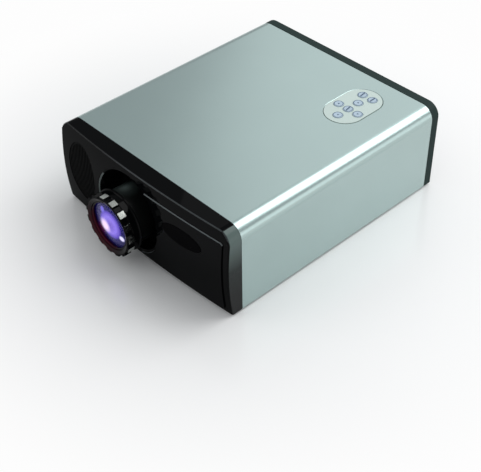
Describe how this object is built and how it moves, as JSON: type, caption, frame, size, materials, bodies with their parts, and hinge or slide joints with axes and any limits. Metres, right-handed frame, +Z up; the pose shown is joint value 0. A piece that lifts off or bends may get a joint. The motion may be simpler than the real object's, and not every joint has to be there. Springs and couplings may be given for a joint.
{
  "type": "home theater projector",
  "caption": "Near-square table-top projector: silver wrap-over shell, bowed black front with a round lens recess and focus ring, oval grille, keypad on top, sockets and fan at the back.",
  "frame": {"origin": "middle of the footprint, at the height of the surface that the feet stand on", "axes": "the lens looks along -Y, +X is on the right of somebody who faces the lens, +Z is up"},
  "size_m": [0.24, 0.3142, 0.0977],
  "materials": {
    "silver_shell": "fine matt silver anodised sheet, slightly grey-green",
    "gloss_black": "polished black moulded plastic",
    "satin_black": "satin black moulded plastic",
    "smoked_window": "smoked acrylic",
    "keypad_grey": "painted silver-grey plastic",
    "key_blue": "pale blue translucent plastic",
    "coated_glass": "optical glass with a violet-blue coating",
    "clear_acrylic": "clear acrylic sheet",
    "raw_aluminium": "plain extruded aluminium",
    "steel": "bright plated steel",
    "zinc_sheet": "galvanised sheet steel",
    "board_green": "green solder resist",
    "rubber": "black rubber",
    "paper_cone": "black pressed paper",
    "copper_winding": "lacquered copper winding",
    "yellow_plastic": "yellow moulded plastic",
    "white_plastic": "white moulded plastic",
    "red_plastic": "red moulded plastic"
  },
  "bodies": {
    "housing": {"top_shell": "silver_shell", "bottom_plate": "zinc_sheet", "front_bezel": "gloss_black", "front_panel": "gloss_black", "infrared_window": "smoked_window", "infrared_receiver": "satin_black", "speaker_grille": "satin_black", "speaker_basket": "steel", "speaker_cone": "paper_cone", "speaker_magnet": "steel", "lens_mount": "satin_black", "light_tunnel": "zinc_sheet", "front_fresnel_lens": "clear_acrylic", "liquid_crystal_panel": "smoked_window", "rear_fresnel_lens": "clear_acrylic", "condenser_lens": "clear_acrylic", "light_source": "raw_aluminium", "heat_sink": "raw_aluminium", "fan_frame": "satin_black", "fan_guard": "steel", "rear_bezel": "gloss_black", "rear_panel": "satin_black", "rear_screw_1": "steel", "rear_screw_2": "steel", "rear_screw_3": "steel", "rear_screw_4": "steel", "mains_inlet": "satin_black", "switch_frame": "satin_black", "computer_socket": "steel", "phono_socket_1": "yellow_plastic", "phono_socket_2": "white_plastic", "phono_socket_3": "red_plastic", "keypad_plate": "keypad_grey", "key_mat": "rubber", "key_board": "board_green", "main_board": "board_green", "main_chip": "satin_black", "power_board": "board_green", "transformer": "copper_winding", "smoothing_capacitor": "raw_aluminium", "foot_1": "rubber", "foot_2": "rubber", "foot_3": "rubber", "foot_4": "rubber"},
    "lens_carrier": {"lens_barrel": "satin_black", "front_lens": "coated_glass", "rear_lens": "coated_glass", "lens_retaining_ring": "satin_black"},
    "focus_grip": {"focus_ring": "gloss_black"},
    "enter_button": {"enter_key": "key_blue"},
    "left_button": {"left_key": "key_blue"},
    "right_button": {"right_key": "key_blue"},
    "up_button": {"up_key": "key_blue"},
    "down_button": {"down_key": "key_blue"},
    "menu_button": {"menu_key": "key_blue"},
    "source_button": {"source_key": "key_blue"},
    "rocker": {"power_rocker": "gloss_black"},
    "fan_wheel": {"fan_rotor": "satin_black"}
  },
  "joints": [
    {"name": "lens_slide", "type": "slide", "parent": "housing", "child": "lens_carrier", "axis": [0, -1, 0], "range_m": [0, 0.006]},
    {"name": "focus_turn", "type": "hinge", "parent": "lens_carrier", "child": "focus_grip", "pos_m": [-0.014, -0.1487, 0.044], "axis": [0, -1, 0], "range_deg": [0, 150]},
    {"name": "enter_press", "type": "slide", "parent": "housing", "child": "enter_button", "axis": [0, 0, -1], "range_m": [0, 0.0007], "stiffness_N_per_m": 1500},
    {"name": "left_press", "type": "slide", "parent": "housing", "child": "left_button", "axis": [0, 0, -1], "range_m": [0, 0.0007], "stiffness_N_per_m": 1500},
    {"name": "right_press", "type": "slide", "parent": "housing", "child": "right_button", "axis": [0, 0, -1], "range_m": [0, 0.0007], "stiffness_N_per_m": 1500},
    {"name": "up_press", "type": "slide", "parent": "housing", "child": "up_button", "axis": [0, 0, -1], "range_m": [0, 0.0007], "stiffness_N_per_m": 1500},
    {"name": "down_press", "type": "slide", "parent": "housing", "child": "down_button", "axis": [0, 0, -1], "range_m": [0, 0.0007], "stiffness_N_per_m": 1500},
    {"name": "menu_press", "type": "slide", "parent": "housing", "child": "menu_button", "axis": [0, 0, -1], "range_m": [0, 0.0007], "stiffness_N_per_m": 1500},
    {"name": "source_press", "type": "slide", "parent": "housing", "child": "source_button", "axis": [0, 0, -1], "range_m": [0, 0.0007], "stiffness_N_per_m": 1500},
    {"name": "power_switch", "type": "hinge", "parent": "housing", "child": "rocker", "pos_m": [0.088, 0.1465, 0.064], "axis": [-1, 0, 0], "range_deg": [0, 16]},
    {"name": "fan_spin", "type": "hinge", "parent": "housing", "child": "fan_wheel", "pos_m": [-0.03814, 0.1388, 0.048], "axis": [0, 1, 0], "continuous": true}
  ],
  "couplings": [
    {"joint": "lens_slide", "follows": "focus_turn", "m_per_rad": 0.00229}
  ]
}
